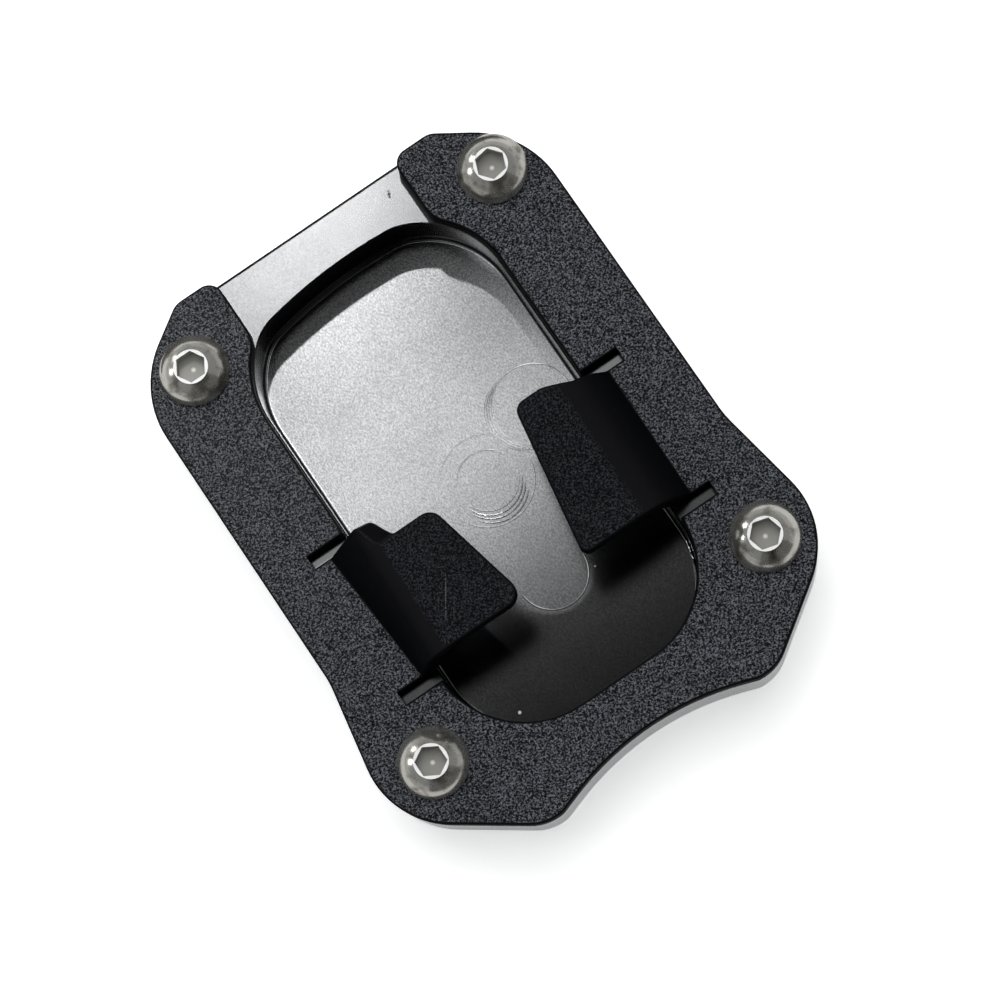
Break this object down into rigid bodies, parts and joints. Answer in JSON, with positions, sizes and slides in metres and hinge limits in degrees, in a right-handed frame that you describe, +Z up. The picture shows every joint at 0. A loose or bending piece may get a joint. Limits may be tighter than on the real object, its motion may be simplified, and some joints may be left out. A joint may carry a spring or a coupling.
{
  "type": "kickstand foot enlarger",
  "caption": "Kickstand foot enlarger: a milled metal foot with a deep rounded pocket, under a black bent-sheet plate with hooks that hold the stand's foot, fixed by button-head screws.",
  "frame": {"origin": "on the ground face, at the middle of the overall length and width", "axes": "+X to the right seen from above with the open front away from the viewer, +Y towards the open front, +Z up"},
  "size_m": [0.0736, 0.0934, 0.0245],
  "materials": {
    "milled_aluminium": "bare milled aluminium with faint tool marks",
    "black_coat": "fine-textured black powder coat on steel sheet, smoother on the bends",
    "stainless_steel": "slightly dull stainless steel"
  },
  "bodies": {
    "root": {"base_plate": "milled_aluminium", "clamp_plate": "black_coat", "screw_front_left": "stainless_steel", "screw_front_right": "stainless_steel", "screw_rear_left": "stainless_steel", "screw_rear_right": "stainless_steel"}
  },
  "joints": []
}
